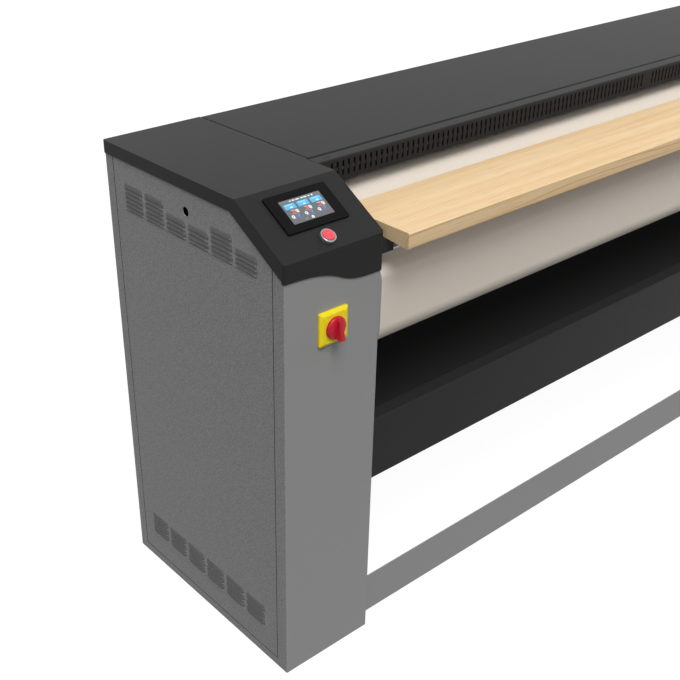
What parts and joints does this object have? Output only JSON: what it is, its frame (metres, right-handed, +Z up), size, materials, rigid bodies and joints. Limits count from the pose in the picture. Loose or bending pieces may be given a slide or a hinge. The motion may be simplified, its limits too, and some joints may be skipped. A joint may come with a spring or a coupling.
{
  "type": "flatwork ironer",
  "caption": "Wall-type flatwork ironer: two end cabinets, an open work zone with a heated cylinder, a cream ironing belt, a feed board, a return tray and a slotted strip under a black hood.",
  "frame": {"origin": "floor level under the middle of the whole machine", "axes": "+X along the machine towards its right end, +Y from the feed side to the rear, +Z up"},
  "size_m": [2.85, 0.7208, 1.125],
  "materials": {
    "grey_paint": "fine textured grey paint",
    "black_paint": "black satin paint",
    "steel": "ground steel",
    "zinc": "zinc coated sheet",
    "iron": "cast iron",
    "motor_paint": "blue grey painted casting",
    "drive_rubber": "black rubber",
    "belt_cloth": "cream woven felt",
    "beech": "clear lacquered board",
    "black_plastic": "black moulding",
    "screen": "touch glass over a display",
    "red_plastic": "red moulding",
    "yellow_plastic": "yellow moulding"
  },
  "bodies": {
    "frame": {"left_casing": "grey_paint", "left_side_panel": "grey_paint", "right_casing": "grey_paint", "right_side_panel": "grey_paint", "end_plate_left": "grey_paint", "end_plate_right": "grey_paint", "front_crossbar": "grey_paint", "rear_crossbar": "grey_paint", "rear_panel": "grey_paint", "left_cover": "black_paint", "right_cover": "black_paint", "top_hood": "black_paint", "vent_strip": "black_paint", "board_bracket_left": "black_paint", "board_bracket_right": "black_paint", "linen_tray": "black_paint", "heater_core": "steel", "stop_button_body": "steel", "board_rail": "zinc", "motor_bracket": "zinc", "control_plate": "zinc", "heater_bracket": "zinc", "fan_housing": "zinc", "exhaust_spigot": "zinc", "cylinder_bearing_left": "iron", "cylinder_bearing_right": "iron", "gear_motor": "motor_paint", "fan_motor": "motor_paint", "drive_belt": "drive_rubber", "ironing_belt": "belt_cloth", "feed_board": "beech", "touch_panel": "black_plastic", "switch_body": "black_plastic", "contactor_row": "black_plastic", "heater_terminal_box": "black_plastic", "touch_screen": "screen", "switch_plate": "yellow_plastic"},
    "cylinder": {"heated_cylinder": "steel", "cylinder_pulley": "iron"},
    "nose_roller": {"nose_roller": "steel"},
    "nip_roller": {"nip_roller": "steel"},
    "rear_upper_roller": {"rear_upper_roller": "steel"},
    "rear_lower_roller": {"rear_lower_roller": "steel"},
    "front_return_roller": {"front_return_roller": "steel"},
    "drive_shaft": {"drive_shaft": "steel", "motor_pulley": "iron"},
    "fan_impeller": {"fan_impeller": "zinc"},
    "stop_button_cap": {"stop_button_cap": "red_plastic"},
    "switch_knob": {"switch_knob": "red_plastic"},
    "finger_guard": {"finger_guard": "steel"}
  },
  "joints": [
    {"name": "cylinder_spin", "type": "hinge", "parent": "frame", "child": "cylinder", "pos_m": [0, 0.10265, 0.948], "axis": [1, 0, 0], "continuous": true},
    {"name": "nose_roller_spin", "type": "hinge", "parent": "frame", "child": "nose_roller", "pos_m": [0, -0.25935, 0.927], "axis": [1, 0, 0], "continuous": true},
    {"name": "nip_roller_spin", "type": "hinge", "parent": "frame", "child": "nip_roller", "pos_m": [0, -0.05735, 1.024], "axis": [1, 0, 0], "continuous": true},
    {"name": "rear_upper_roller_spin", "type": "hinge", "parent": "frame", "child": "rear_upper_roller", "pos_m": [0, 0.26765, 1.035], "axis": [1, 0, 0], "continuous": true},
    {"name": "rear_lower_roller_spin", "type": "hinge", "parent": "frame", "child": "rear_lower_roller", "pos_m": [0, 0.24265, 0.775], "axis": [1, 0, 0], "continuous": true},
    {"name": "front_return_roller_spin", "type": "hinge", "parent": "frame", "child": "front_return_roller", "pos_m": [0, -0.23035, 0.82], "axis": [1, 0, 0], "continuous": true},
    {"name": "drive_shaft_spin", "type": "hinge", "parent": "frame", "child": "drive_shaft", "pos_m": [0, 0.01365, 1.049], "axis": [1, 0, 0], "continuous": true},
    {"name": "fan_spin", "type": "hinge", "parent": "frame", "child": "fan_impeller", "pos_m": [1.2246, 0.17765, 0.662], "axis": [1, 0, 0], "continuous": true},
    {"name": "stop_button_press", "type": "slide", "parent": "frame", "child": "stop_button_cap", "axis": [0, 0.5055, -0.8628], "range_m": [0, 0.0035], "stiffness_N_per_m": 400},
    {"name": "main_switch_turn", "type": "hinge", "parent": "frame", "child": "switch_knob", "pos_m": [-1.301, -0.31235, 0.874], "axis": [0, 1, 0], "range_deg": [-90, 0]},
    {"name": "finger_guard_swing", "type": "hinge", "parent": "frame", "child": "finger_guard", "pos_m": [0, -0.09335, 1.096], "axis": [1, 0, 0], "range_deg": [0, 15], "stiffness_Nm_per_rad": 2}
  ],
  "couplings": [
    {"joint": "nose_roller_spin", "follows": "cylinder_spin", "ratio": -5.6391},
    {"joint": "nip_roller_spin", "follows": "cylinder_spin", "ratio": -6.9444},
    {"joint": "rear_upper_roller_spin", "follows": "cylinder_spin", "ratio": -6.9444},
    {"joint": "rear_lower_roller_spin", "follows": "cylinder_spin", "ratio": -6.9444},
    {"joint": "front_return_roller_spin", "follows": "cylinder_spin", "ratio": -2.6978},
    {"joint": "drive_shaft_spin", "follows": "cylinder_spin", "ratio": 3}
  ]
}
